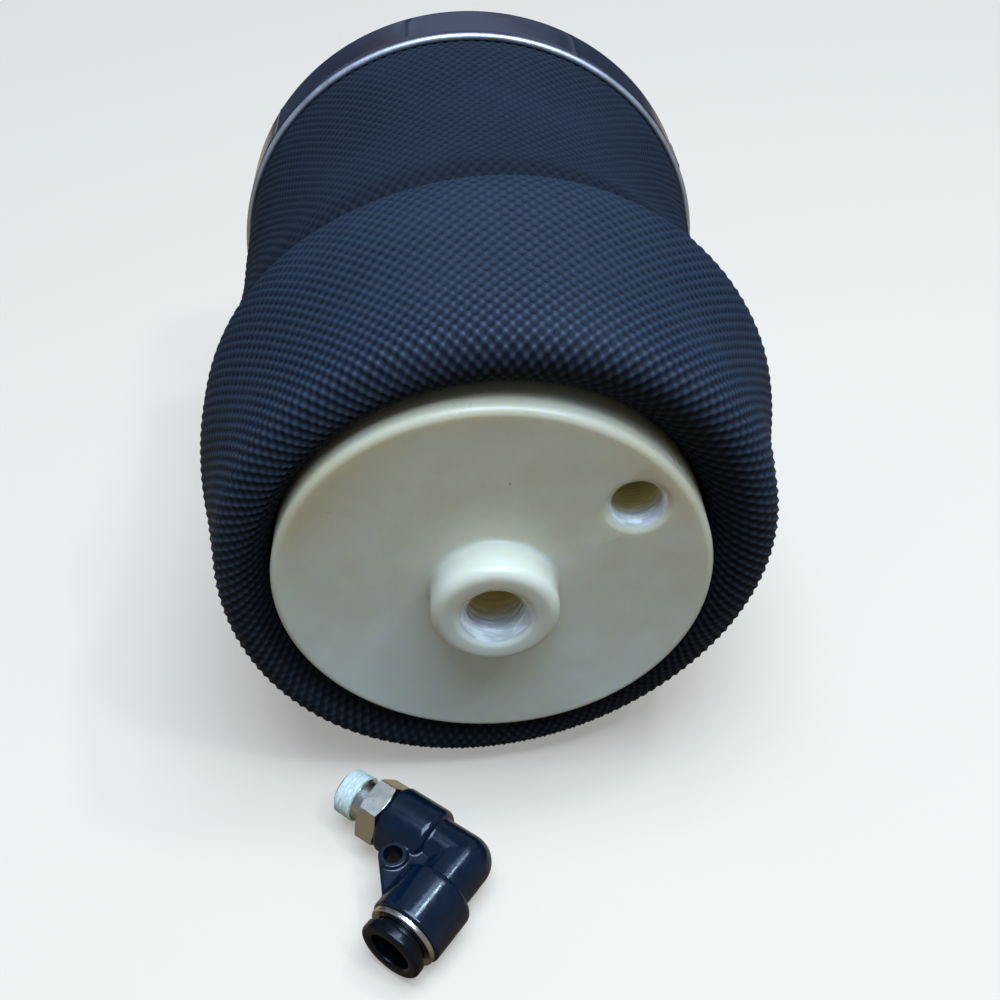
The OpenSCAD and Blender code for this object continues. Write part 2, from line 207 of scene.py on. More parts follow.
def rounded(mesh, width):
    """The mesh with its sharp edges beveled."""
    obj = in_scene("bevel", mesh)
    step = obj.modifiers.new("bevel", "BEVEL")
    step.width = width
    step.segments = 3
    step.limit_method = "ANGLE"
    step.angle_limit = math.radians(35)
    return baked(obj)


def arc(center, radius, start, end, steps):
    """Points on a round stretch of a profile, between two angles in degrees."""
    turns = [math.radians(start + (end - start) * i / steps) for i in range(steps + 1)]
    return [(center[0] + radius * math.cos(t), center[1] + radius * math.sin(t)) for t in turns]


def wall(radius, start, end, step):
    """Points along a straight wall, spaced for the relief that it carries."""
    count = max(1, round(abs(end - start) / step))
    return [(radius, start + (end - start) * i / count) for i in range(count + 1)]


def lathe(profile, segments, relief=None):
    """A closed turned mesh; relief(radius, height, angle) gives the radius at an angle."""
    verts, rings = [], []
    for radius, height in profile:
        if radius < 1e-6:
            rings.append([len(verts)])
            verts.append((0, 0, height))
            continue
        rings.append(list(range(len(verts), len(verts) + segments)))
        for k in range(segments):
            angle = TAU * k / segments
            r = relief(radius, height, angle) if relief else radius
            verts.append((r * math.cos(angle), r * math.sin(angle), height))
    faces = []
    for a, b in zip(rings, rings[1:] + rings[:1]):
        for k in range(segments):
            n = (k + 1) % segments
            if len(a) > 1 and len(b) > 1:
                faces.append((a[k], a[n], b[n], b[k]))
            elif len(a) > 1:
                faces.append((a[k], a[n], b[0]))
            elif len(b) > 1:
                faces.append((a[0], b[n], b[k]))
    return raw_mesh("turned", verts, faces)


def bar(profile, axis, segments=96, relief=None):
    """A turned mesh laid along an axis."""
    return moved(outward(lathe(profile, segments, relief)), axis)


def rod(radius, start, end, axis, segments=96):
    """A plain cylinder along an axis."""
    return bar([(0, start), (radius, start), (radius, end), (0, end)], axis, segments)


def prism(outline, height):
    """A flat plate with that outline, centred on z = 0."""
    count = len(outline)
    verts = [(x, y, -height / 2) for x, y in outline] + [(x, y, height / 2) for x, y in outline]
    faces = [tuple(range(count)), tuple(range(count, 2 * count))]
    faces += [(k, (k + 1) % count, count + (k + 1) % count, count + k) for k in range(count)]
    return outward(raw_mesh("prism", verts, faces))


def thread(crest, depth, pitch, start, end):
    """A relief that cuts a right-hand thread into the wall at radius crest.

    The flanks rise 1.9 times as fast as a plain zigzag, which leaves flats at crest and root. The
    thread fades out over one turn at both ends. The depth is negative on a bolt.
    """
    def relief(radius, height, angle):
        if abs(radius - crest) > 1e-4 or not start <= height <= end:
            return radius
        phase = (height / pitch - angle / TAU) % 1
        tooth = min(1.0, max(0.0, 1.9 * abs(2 * phase - 1) - 0.45))
        fade = min(1.0, (height - start) / pitch, (end - height) / pitch)
        return crest + depth * tooth * fade
    return relief


def finish_mesh(name, mesh, sharp):
    """An object from a mesh in millimetres, smooth but for edges sharper than that angle."""
    mesh.transform(Matrix.Scale(MM, 4))
    outward(mesh)
    mesh.polygons.foreach_set("use_smooth", [True] * len(mesh.polygons))
    mesh.set_sharp_from_angle(angle=math.radians(sharp))
    return in_scene(name, mesh)


def set_finish(obj, material):
    obj.data.materials.clear()
    obj.data.materials.append(material)


def settle(name, mesh, material, body, node, slot, sharp=35.0):
    """A piece that rides on a body and stands for a CAD node, with its finish."""
    obj = finish_mesh(name, mesh, sharp)
    set_finish(obj, material)
    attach(obj, body)
    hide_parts(node)
    return obj


# Material helpers

class Nodes:
    """Short calls that add nodes to a tree and wire them."""

    def __init__(self, tree):
        self.tree = tree

    def add(self, kind, inputs=None, **settings):
        node = self.tree.nodes.new(kind)
        for key, value in settings.items():
            setattr(node, key, value)
        for key, value in (inputs or {}).items():
            self.feed(node.inputs[key], value)
        return node

    def feed(self, socket, value):
        if isinstance(value, bpy.types.NodeSocket):
            self.tree.links.new(value, socket)
        else:
            socket.default_value = value

    def coordinates(self, kind):
        return self.add("ShaderNodeTexCoord").outputs[kind]

    def split(self, vector):
        """The X, Y and Z of a vector."""
        return self.add("ShaderNodeSeparateXYZ", {"Vector": vector}).outputs

    def span(self, value, low, high, to_low=0.0, to_high=1.0):
        """The value, where low becomes to_low and high becomes to_high, held at both ends."""
        inputs = {"Value": value, "From Min": low, "From Max": high}
        inputs |= {"To Min": to_low, "To Max": to_high}
        return self.add("ShaderNodeMapRange", inputs).outputs["Result"]

    def mix(self, factor, a, b):
        node = self.add("ShaderNodeMix", data_type="RGBA")
        self.feed(node.inputs["Factor"], factor)
        for key, color in (("A", a), ("B", b)):
            plain = not isinstance(color, bpy.types.NodeSocket)
            self.feed(node.inputs[key], (*color, 1) if plain else color)
        return node.outputs["Result"]


class Finish(Nodes):
    """A material, with short calls for the nodes that feed its Principled shader."""

    def __init__(self, name, **constants):
        self.material = bpy.data.materials.new(name)
        self.material.use_nodes = True
        super().__init__(self.material.node_tree)
        self.shader = self.tree.nodes["Principled BSDF"]
        for socket, value in constants.items():
            self.shader.inputs[socket.replace("_", " ")].default_value = value
        self.place = self.coordinates("Object")

    def noise(self, scale, detail, rough, place=None):
        inputs = {"Vector": place or self.place, "Scale": scale}
        inputs |= {"Detail": detail, "Roughness": rough}
        return self.add("ShaderNodeTexNoise", inputs).outputs["Fac"]

    def stretched(self, x, y, z):
        """Object coordinates scaled by axis, for streaks."""
        inputs = {"Vector": self.place, "Scale": (x, y, z)}
        return self.add("ShaderNodeMapping", inputs).outputs["Vector"]

    def math(self, operation, a, b=0.0):
        return self.add("ShaderNodeMath", {0: a, 1: b}, operation=operation).outputs["Value"]

    def plus(self, a, b):
        return self.math("ADD", a, b)

    def times(self, a, b):
        return self.math("MULTIPLY", a, b)

    def larger(self, a, b):
        return self.math("MAXIMUM", a, b)

    def bump(self, height, distance, under=None):
        inputs = {"Height": height, "Distance": distance}
        if under is not None:
            inputs["Normal"] = under
        return self.add("ShaderNodeBump", inputs).outputs["Normal"]

    def out(self, **sockets):
        for name, value in sockets.items():
            self.feed(self.shader.inputs[name.replace("_", " ")], value)
        return self.material


def linear(r, g, b):
    """A colour as it looks on screen, 0 to 255, in the linear values of the shader."""
    def one(v):
        v /= 255
        return v / 12.92 if v <= 0.04045 else ((v + 0.055) / 1.055) ** 2.4
    return one(r), one(g), one(b)


# Finishes. A noise has its scale in cells per metre, then its detail and its roughness.

CROSSINGS = 144     # cords of each ply round the sleeve
PROUD_PLY = 0.17    # how much one ply stands out at the left side, and the other at the right
CREASE_ROW = 24.6   # row of cord crossings in the fold behind the bulge


def cord_rubber():
    """Black sleeve rubber. Its UV map counts cord crossings, round the sleeve and along it."""
    f = Finish("sleeve_rubber", Specular_IOR_Level=0.17)
    column, row, _ = f.split(f.coordinates("UV"))
    plies = [f.math("COSINE", f.times(f.math(turn, column, row), TAU))
             for turn in ("SUBTRACT", "ADD")]
    side = f.math("COSINE", f.times(column, TAU / CROSSINGS))
    weights = [f.span(side, -1.0, 1.0, 0.5 + lean, 0.5 - lean) for lean in (PROUD_PLY, -PROUD_PLY)]
    lattice = f.plus(f.times(plies[0], weights[0]), f.times(plies[1], weights[1]))
    wear_and_sheen, grain = f.noise(48, 4, 0.6), f.noise(2600, 2, 0.6)

    # Lobe cords spread: wider pits there. Pits take painted shade, crowns wear and a painted
    # highlight
    lobe = f.span(row, 4.5, 11.0, 1.0, 0.0)
    narrow = f.larger(f.span(lattice, -0.95, -0.2), f.span(wear_and_sheen, 0.50, 0.72, 0.0, 0.7))
    wide = f.math("SUBTRACT", f.span(lattice, -0.75, 0.35), narrow)
    flank = f.plus(narrow, f.times(wide, lobe))
    crown_wear_and_highlight = f.times(f.span(lattice, 0.05, 1.0), f.span(lobe, 0.0, 1.0, 0.35, 1.0))
    # painted shade in the pits between the cords
    ground = f.mix(flank, linear(12, 17, 24), linear(32, 41, 51))
    # paler crowns: partly wear, partly a painted highlight, most on the lobe
    clean = f.mix(crown_wear_and_highlight, ground, linear(53, 66, 79))
    # grey patches: partly dust, partly a painted sheen on the cords
    dust_and_sheen = f.mix(f.span(wear_and_sheen, 0.42, 0.80, 0.0, 0.22), clean, linear(52, 62, 74))

    # Less light reaches the inside of the roll, the fold behind the bulge and the tube after it
    rolled = f.span(row, 2.0, 5.0, 0.30, 1.0)
    beyond = f.span(row, CREASE_ROW - 0.5, CREASE_ROW + 1.5, 1.0, 0.66)
    from_fold = f.math("ABSOLUTE", f.math("SUBTRACT", row, CREASE_ROW + 0.1))
    shade = f.times(f.times(rolled, beyond), f.span(from_fold, 0.3, 2.8, 0.48, 1.0))
    base = f.mix(shade, linear(3, 4, 6), dust_and_sheen)

    worn = f.plus(f.span(crown_wear_and_highlight, 0.0, 0.8, 0.66, 0.42), f.span(grain, 0.3, 0.7, -0.05, 0.05))
    rough = f.plus(worn, f.span(shade, 0.3, 0.8, 0.25, 0.0))
    normal = f.bump(grain, 40 * MICRON, f.bump(lattice, 180 * MICRON))
    return f.out(Base_Color=base, Roughness=rough, Normal=normal)


def moulded_nylon(name, pale, deep, cool, rough):
    """Natural nylon that lets light through: clouds of warm and cool ivory, fine scratches."""
    f = Finish(name, Subsurface_Weight=0.7, Subsurface_Scale=3.5 * MM,
               Subsurface_Radius=(1.0, 0.72, 0.38))
    cloud = f.plus(f.noise(38, 3, 0.5), f.times(f.noise(210, 3, 0.6), 0.35))

    # Warm clouds and a painted warm glow at the upper edge; cooler painted table reflection lower
    # down
    x, _, height = f.split(f.place)
    radius = f.math("SQRT", f.plus(f.math("POWER", x, 2), f.math("POWER", height, 2)))
    # painted light: a warm glow near the rim, strongest at the top
    painted_rim_glow = f.times(f.span(radius, 24 * MM, 37 * MM),
                         f.span(height, -12 * MM, 18 * MM, 0.0, 0.8))
    warm = f.mix(f.larger(f.span(cloud, 0.50, 0.85), painted_rim_glow), pale, deep)
    drift = f.span(f.noise(16, 3, 0.5), 0.35, 0.65, -0.3, 0.3)
    # painted reflection of the bright table: lighter and cooler lower down
    low = f.span(height, -30 * MM, 30 * MM, 0.80, 0.15)
    base = f.mix(f.plus(low, drift), warm, cool)
    speck = f.span(f.noise(520, 1, 0.4), 0.80, 0.83)
    speckled = f.mix(f.times(speck, 0.6), base, tuple(v * 0.4 for v in deep))

    # Two sets of fine scratches, upright and across
    upright = f.noise(900, 2, 0.5, f.stretched(1.0, 0.25, 0.08))
    across = f.noise(800, 2, 0.5, f.stretched(0.10, 0.25, 1.0))
    scratch = f.larger(f.span(upright, 0.68, 0.76), f.span(across, 0.70, 0.78))
    roughness = f.plus(f.span(cloud, 0.4, 0.9, rough - 0.06, rough + 0.07), f.times(scratch, 0.12))
    sink = f.bump(f.noise(90, 2, 0.5), 220 * MICRON)
    normal = f.bump(scratch, -20 * MICRON, f.bump(f.noise(1500, 2, 0.5), 20 * MICRON, sink))
    return f.out(Base_Color=speckled, Roughness=roughness, Normal=normal)


def cut_nylon(name, deep):
    """Machined nylon in a hole: silvery and streaked at the mouth; from the depth deep on, a
    painted olive shade for the warm dim light deep in the nylon.
    """
    f = Finish(name, Subsurface_Weight=1.0, Subsurface_Scale=4 * MM,
               Subsurface_Radius=(1.0, 0.75, 0.35))
    streak = f.noise(620, 3, 0.6, f.stretched(0.35, 1.6, 0.35))
    _, y, _ = f.split(f.place)
    depth = f.plus(y, f.span(streak, 0.3, 0.7, -600 * MICRON, 600 * MICRON))
    pale = f.mix(f.span(streak, 0.42, 0.62), linear(200, 202, 194), linear(236, 236, 228))
    # painted shade: past the depth deep the wall turns olive, the warm dim light inside translucent
    # nylon
    base = f.mix(f.span(depth, deep, deep + 3 * MM), pale, linear(238, 224, 158))
    normal = f.bump(streak, 120 * MICRON, f.bump(f.noise(1900, 2, 0.5), 30 * MICRON))
    return f.out(Base_Color=base, Roughness=f.span(streak, 0.35, 0.65, 0.10, 0.34), Normal=normal)


def plated_metal(name, tone, tarnish, rough, brushed, relief=1.0, patches=75):
    """Plated metal: turned or drawn lines, small stains, fingermarks that dull the shine."""
    f = Finish(name, Metallic=1.0)
    lines = f.noise(1400, 2, 0.6, f.stretched(*brushed))
    stain = f.noise(patches, 4, 0.62)
    marks = f.noise(240, 3, 0.6)
    dulled = f.span(marks, 0.35, 0.75, rough, rough + 0.04 + 0.12 * relief)
    normal = f.bump(lines, 12 * MICRON * relief, f.bump(marks, 30 * MICRON * relief))
    return f.out(Base_Color=f.mix(f.span(stain, 0.52, 0.72), tone, tarnish),
                 Roughness=f.plus(dulled, f.span(lines, 0.3, 0.7, -0.03, 0.03)), Normal=normal)


def satin_plastic(name, tone, rough, shine):
    """Dark moulded plastic with a fine satin skin."""
    f = Finish(name, Specular_IOR_Level=shine)
    cloud = f.noise(260, 3, 0.6)
    base = f.mix(f.span(cloud, 0.4, 0.8), tone, tuple(v * 1.6 for v in tone))
    roughness = f.span(f.noise(700, 3, 0.6), 0.3, 0.7, rough - 0.04, rough + 0.06)
    normal = f.bump(f.noise(3200, 2, 0.5), 8 * MICRON, f.bump(cloud, 40 * MICRON))
    return f.out(Base_Color=base, Roughness=roughness, Normal=normal)


def sealant_coat():
    """Powdery white thread sealant, thin on the crests, with a cold tint."""
    f = Finish("sealant", Specular_IOR_Level=0.35)
    patch = f.noise(900, 3, 0.65)
    base = f.mix(f.span(patch, 0.38, 0.7), linear(224, 232, 214), linear(196, 208, 194))
    roughness = f.span(patch, 0.3, 0.7, 0.5, 0.75)
    return f.out(Base_Color=base, Roughness=roughness, Normal=f.bump(patch, 80 * MICRON))


def soft_rubber():
    """Matt black moulded rubber with a bloom."""
    f = Finish("black_rubber", Specular_IOR_Level=0.35)
    bloom = f.noise(160, 4, 0.6)
    base = f.mix(f.span(bloom, 0.45, 0.8), linear(24, 24, 27), linear(52, 52, 56))
    normal = f.bump(f.noise(1800, 2, 0.5), 30 * MICRON)
    return f.out(Base_Color=base, Roughness=f.span(bloom, 0.3, 0.8, 0.6, 0.85), Normal=normal)


RUBBER = cord_rubber()
NYLON = moulded_nylon("piston_nylon", linear(218, 212, 184), linear(204, 188, 146),
                      linear(224, 228, 212), 0.31)
HOLE_NYLON = cut_nylon("hole_nylon", -3 * MM)
PORT_NYLON = cut_nylon("port_nylon", 3 * MM)
PLATE_NYLON = moulded_nylon("plate_nylon", linear(208, 204, 178), linear(188, 181, 148),
                            linear(196, 199, 182), 0.42)
PLATED = plated_metal("plated_steel", linear(148, 148, 162), linear(122, 92, 86), 0.12,
                      (0.05, 1.0, 0.05), 0.8, 30)
EDGE = plated_metal("plated_edge", linear(214, 218, 222), linear(180, 184, 190), 0.42,
                    (0.05, 1.0, 0.05))
ZINC = plated_metal("zinc_steel", linear(178, 182, 188), linear(160, 154, 132), 0.30,
                    (0.2, 1.0, 0.2))
BRASS = plated_metal("brass", linear(214, 178, 104), linear(158, 118, 66), 0.24, (0.2, 1.0, 0.2))
NICKEL = plated_metal("nickel", linear(206, 200, 186), linear(176, 164, 138), 0.24,
                      (0.3, 0.3, 0.3), 0.15)
CLAW = plated_metal("claw_steel", linear(202, 204, 206), linear(180, 178, 172), 0.2,
                    (1.0, 1.0, 1.0))
FITTING = satin_plastic("fitting_plastic", linear(3, 18, 32), 0.17, 0.45)
RELEASE = satin_plastic("release_plastic", linear(6, 9, 14), 0.24, 0.25)
SEALANT = sealant_coat()
SOFT = soft_rubber()


# Piston

BOSS_MOUTH_R = 7.1      # countersink of the fixing hole
PORT_MOUTH_R = 5.9      # dished mouth of the air port
PORT_END = 15.0
CUP_FLOOR = 10.0


def build_piston():
    """The cup with its rounded rim, boss, cut fixing thread and cut air port."""
    port, place, _ = mount("air_port")
    at_port = (place.x, -place.z)
    cup = cut(fixing_cup(), [shifted(rod(port["r_mm"] + 2.2, CUP_FLOOR - 0.5, PORT_END - 1, AXIS_Z),
                                     *at_port)], "UNION")
    cup = cut(cup, [shifted(port_tool(port["r_mm"]), *at_port)])
    obj = settle("piston", moved(cup, AXIS_Y), NYLON, "piston", "piston_cup", "piston_nylon", 38)
    obj.data.materials.append(HOLE_NYLON)
    obj.data.materials.append(PORT_NYLON)
    mark_cut_faces(obj, [((0, 0), BOSS_MOUTH_R - 0.7, BOSS_FRONT),
                         ((place.x, place.z), PORT_MOUTH_R - 0.6, 0)])


def fixing_cup():
    """The turned cup: from the hole's end out over the boss, the face and the rim, and back in."""
    fix, _, _ = mount("boss_thread")
    hole_r, boss_r, mouth_r = fix["r_mm"], mount("boss")[0]["r_mm"], BOSS_MOUTH_R
    boss_round, foot, rim_round = 2.2, 0.8, 1.5
    mouth_end = BOSS_FRONT + (mouth_r - hole_r)
    depth = mouth_end + fix["length_mm"]
    bore, column_r, column_end = PISTON_R - 4, hole_r + 6.5, depth + 5
    profile = [(0.0, depth + hole_r / 2)]
    profile += wall(hole_r, depth, mouth_end + 0.3, 0.22)
    profile += [(hole_r + 0.06, mouth_end + 0.1), (hole_r + 0.3, mouth_end - 0.25),
                (mouth_r - 0.55, BOSS_FRONT + 0.6), (mouth_r - 0.2, BOSS_FRONT + 0.27),
                (mouth_r + 0.1, BOSS_FRONT + 0.08), (mouth_r + 0.5, BOSS_FRONT),
                (boss_r - boss_round - 0.3, BOSS_FRONT)]
    profile += arc((boss_r - boss_round, BOSS_FRONT + boss_round), boss_round, -90, 0, 12)
    profile += [(boss_r, -foot - 0.5)] + arc((boss_r + foot, -foot), foot, 180, 90, 4)
    profile += [(r, 0) for r in (boss_r + foot + 0.5, 18, 26, 33, PISTON_R - rim_round - 0.6)]
    profile += arc((PISTON_R - rim_round, rim_round), rim_round, -90, 0, 16)
    profile += [(PISTON_R, rim_round + 0.5), (PISTON_R, 12), (PISTON_R, CUP_END), (bore, CUP_END),
                (bore, CUP_FLOOR + 0.8), (bore - 0.8, CUP_FLOOR), (column_r, CUP_FLOOR),
                (column_r, column_end), (0, column_end)]
    return outward(lathe(profile, 192, thread(hole_r, 0.14, PITCH_M12, mouth_end + 0.3, depth)))


def port_tool(port_r):
    """What the air port takes away: a dished mouth with a soft lip, and a threaded bore."""
    mouth, dish = PORT_MOUTH_R, PORT_MOUTH_R - port_r
    start = dish + 0.6
    profile = [(0, -2.0), (mouth + 1.4, -2.0), (mouth + 1.4, -0.35), (mouth + 0.5, -0.02),
               (mouth + 0.15, 0.06), (mouth - 0.25, 0.30), (mouth - 0.7, 0.75),
               (port_r + 0.45, dish - 0.35), (port_r + 0.15, dish + 0.05),
               (port_r + 0.04, dish + 0.4)]
    profile += wall(port_r, start, PORT_END, 0.115) + [(0, PORT_END)]
    return outward(lathe(profile, 96, thread(port_r, 0.06, PITCH_TAPER, start, PORT_END)))


def mark_cut_faces(obj, holes):
    """Gives the machined walls of each hole its own shinier finish."""
    for face in obj.data.polygons:
        x, y, z = (v / MM for v in face.center)
        for index, ((cx, cz), radius, front) in enumerate(holes, 1):
            if math.hypot(x - cx, z - cz) < radius and y > front + 0.2:
                face.material_index = index


# Sleeve

COLUMNS = 4 * CROSSINGS
HALF = COLUMNS // 2
SKIN = 2.4              # thickness of the rubber
LOBE_WIDTH, LOBE_GAP = 11.8, 0.3        # the roll, and its distance from the piston
LOBE_START = 192.0      # angle on the roll where the skin comes into view
CREASE_Y = 54.4
FOLD_Y = CREASE_Y - 1.2
LINE_STEP, LINE_BLUR = 0.1, 25          # spacing of the line's points, and how many round a corner
CORD_HEIGHT, LOBE_CORD = 0.23, 0.08     # cord relief, and how much more of it the lobe has
WAY_HEIGHT, LOBE_WAY = 0.30, 0.25       # share of it between crossings, less by this on the lobe
CORD_END = 9                            # the relief fades this far before the sleeve's end
# The outside from the lobe to the ring: place along the spring, radius
SIDE_LINE = [(10, 52.4), (14, 53.2), (20, 54.1), (28, 55.9), (36, 57.4), (43, 58.1), (47, 57.8),
             (51, 56.6), (55, 55.3), (60, 54.2), (67, 53.5), (76, 53.2), (88, 53.2), (98, 53.5),
             (108, 54.2), (115, 54.6)]
ROW_PLACES = [4, 16, CREASE_Y - 4, CREASE_Y + 4]        # along the spring
ROWS_PER_MM = [0.35, 0.40, 0.40, 0.335]                 # at those places
LEANS = [(0.8, 5, 18), (1.5, 44, 11), (-0.55, 97, 10)]  # towards +X, place, width
PLEATS = [(0.22, 5, 1.1), (0.12, 9, 0)]                 # height, how many round, turn


def sleeve_line():
    """Dense points of the sleeve's outside, from inside the lobe to the end under the ring."""
    center = (PISTON_R + LOBE_GAP + LOBE_WIDTH / 2, LOBE_FRONT + LOBE_WIDTH / 2)
    corners = np.array(arc(center, LOBE_WIDTH / 2, LOBE_START, 360, 80)
                       + [(r, y) for y, r in SIDE_LINE] + [(SIDE_LINE[-1][1], SLEEVE_END)])
    lengths = np.linalg.norm(np.diff(corners, axis=0), axis=1)
    reach = np.concatenate([[0], np.cumsum(lengths)])
    even = np.arange(0, reach[-1], LINE_STEP)
    line = np.array([np.interp(even, reach, corners[:, k]) for k in (0, 1)]).T
    weights = np.exp(-np.linspace(-2, 2, 2 * LINE_BLUR + 1) ** 2)
    weights /= weights.sum()
    before = 2 * line[0] - line[LINE_BLUR:0:-1]
    after = 2 * line[-1] - line[-2:-2 - LINE_BLUR:-1]
    padded = np.concatenate([before, line, after])
    return np.array([np.convolve(padded[:, k], weights, mode="valid") for k in (0, 1)]).T


def cord_rows(points):
    """Rows a quarter of the pattern apart, where cords cross or pass midway.

    Gives each row's count, its place on the line and its outward direction.
    """
    steps = np.linalg.norm(np.diff(points, axis=0), axis=1)
    middle = (points[1:, 1] + points[:-1, 1]) / 2
    per_mm = np.interp(middle, ROW_PLACES, ROWS_PER_MM)
    phase = np.concatenate([[0], np.cumsum(steps * per_mm)])
    rows = np.arange(0, math.floor(phase[-1] * 4) + 1) / 4
    line = np.array([np.interp(rows, phase, points[:, k]) for k in (0, 1)]).T
    along = np.gradient(line, axis=0)
    along /= np.linalg.norm(along, axis=1)[:, None]
    return rows, line, np.column_stack([along[:, 1], -along[:, 0]])


def rest_on_table(place):
    """Where the soft sleeve meets the table it flattens."""
    soft = 0.7
    above = place[:, 2] - TABLE_Z
    place[:, 2] = TABLE_Z + 0.5 * (above + np.sqrt(above ** 2 + soft ** 2))
    return place


def hill(y, center, width):
    return np.exp(-((y - center) / width) ** 2)


def relaxed(radius, y, angle):
    """Slow unevenness of the real sleeve, as a new radius and place along the spring.

    The bulge hangs to +X, the lobe is twisted, and the crease runs aslant and is deepest at the
    top. The piston holds the skin up to 41 mm from the axis, and from 49 mm on it hangs free.
    """
    twice = np.sin(2 * angle)
    loose = np.clip((radius - 41) / 8, 0, 1)
    loose = loose * loose * (3 - 2 * loose)
    lobe = hill(np.maximum(y - 8.5, 0), 0, 22)
    crease = hill(y, CREASE_Y, 9)
    fold = hill(y, FOLD_Y, np.where(y < FOLD_Y, 6.0, 4.0))
    lean = sum(size * hill(y, place, width) for size, place, width in LEANS)
    shift = lean * np.cos(angle) + lobe * (1.3 * twice - 0.27 * np.cos(2 * angle))
    pleat = sum(size * crease * np.sin(count * angle + turn) for size, count, turn in PLEATS)
    dip = 3.0 * fold * (0.08 + 0.92 * np.sin(angle) ** 2)
    mouth = 1.1 * (1 - loose) * lobe * np.clip(np.sin(angle), 0, 1)
    along = 0.4 * np.clip((119 - y) / 60, 0, 1) * np.cos(angle) + 2.8 * crease * twice
    along = along + lobe * (0.4 * np.cos(2 * angle) + (1.3 - 2.7 * loose) * twice)
    return radius + mouth + loose * (shift + pleat - dip), y + along


def skin_points(radius, y, angle):
    """A ring of points of the relaxed skin."""
    radius, along = relaxed(radius, y, angle)
    return np.column_stack([radius * np.cos(angle), along, radius * np.sin(angle)])


def cord_height(k, column, y):
    """How far a row of cords stands out: crossings and pits in turn, or the ways between them.

    Between crossings, the ply that is proud on that side of the sleeve stands higher.
    """
    crossing = np.where((column // 2 + k // 2) % 2 == 0, 1.0, -1.0)
    lobe = math.exp(-((y - LOBE_FRONT) / 12) ** 2)
    ply = np.where((column - k) // 2 % 2 == 0, -2.0, 2.0)
    way = ply * PROUD_PLY * np.cos(TAU * column / COLUMNS) + WAY_HEIGHT - LOBE_WAY * lobe
    height = np.where(k % 2 == 0, crossing, way) * (CORD_HEIGHT + LOBE_CORD * lobe)
    return height * np.clip((SLEEVE_END - CORD_END - y) / 2, 0, 1)


def build_sleeve():
    """The corded sleeve as one closed skin: crossing cords outside, plain inside."""
    rows, line, side = cord_rows(sleeve_line())
    verts = []
    for k, (r, y) in enumerate(line):
        column = 2 * np.arange(HALF) + k % 2
        height = cord_height(k, column, y)
        verts.append(skin_points(r + height * side[k, 0], y + height * side[k, 1],
                                 TAU * column / COLUMNS))
    outer_rows = len(verts)
    for k in np.linspace(outer_rows - 1, 0, 48).astype(int):
        r, y = line[k] - SKIN * side[k]
        verts.append(skin_points(r, y, TAU * 2 * np.arange(HALF) / COLUMNS))
    faces, counts = cord_faces(outer_rows)
    total = len(verts)
    for row in range(outer_rows - 1, total):
        after = (row + 1) % total
        for i in range(HALF):
            n = (i + 1) % HALF
            faces.append((row * HALF + i, row * HALF + n, after * HALF + n, after * HALF + i))
            counts.append(None)
    mesh = raw_mesh("sleeve", rest_on_table(np.concatenate(verts)), faces)
    map_cords(mesh, faces, counts, rows)
    obj = finish_mesh("sleeve", mesh, 75)
    set_finish(obj, RUBBER)
    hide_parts("bellows")
    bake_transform(obj)


def cord_faces(rows):
    """Triangles whose edges run along the cords, each from a crossing to the pit beside it.

    With them goes the row and the place round the sleeve that each is counted from.
    """
    def at(row, i):
        return row * HALF + i % HALF
    faces, counts = [], []
    for row in range(rows - 2):
        odd = row % 2
        for i in range(HALF):
            low, high = at(row, i), at(row + 2, i)
            left, right = at(row + 1, i - 1 + odd), at(row + 1, i + odd)
            faces += [(low, right, high), (low, high, left)]
            counts += [(row, i)] * 2
    for row, step in ((0, 1), (rows - 1, -1)):
        odd = row % 2
        for i in range(HALF):
            faces.append((at(row, i), at(row, i + 1), at(row + step, i + odd)))
            counts.append((row, i))
    return faces, counts


def map_cords(mesh, faces, counts, rows):
    """UV in counts of the pattern, so that the finish can follow each cord across the seam too."""
    layer = mesh.uv_layers.new(name="cords")
    values = np.zeros((len(mesh.loops), 2), np.float32)
    loop = 0
    for face, count in zip(faces, counts):
        for vertex in face:
            if count is None:       # the plain inside
                values[loop] = (0.25, 0.25)
            else:
                row, i = divmod(vertex, HALF)
                column = 2 * i + row % 2
                if abs(i - count[1]) > HALF // 2:
                    column += COLUMNS if i < count[1] else -COLUMNS
                values[loop] = (column / 4, rows[row])
            loop += 1
    layer.data.foreach_set("uv", values.ravel())


# Crimp ring, top plate and nuts

JAW = math.radians(40)              # nine jaws swage the ring
JAW_START = math.radians(16.75)


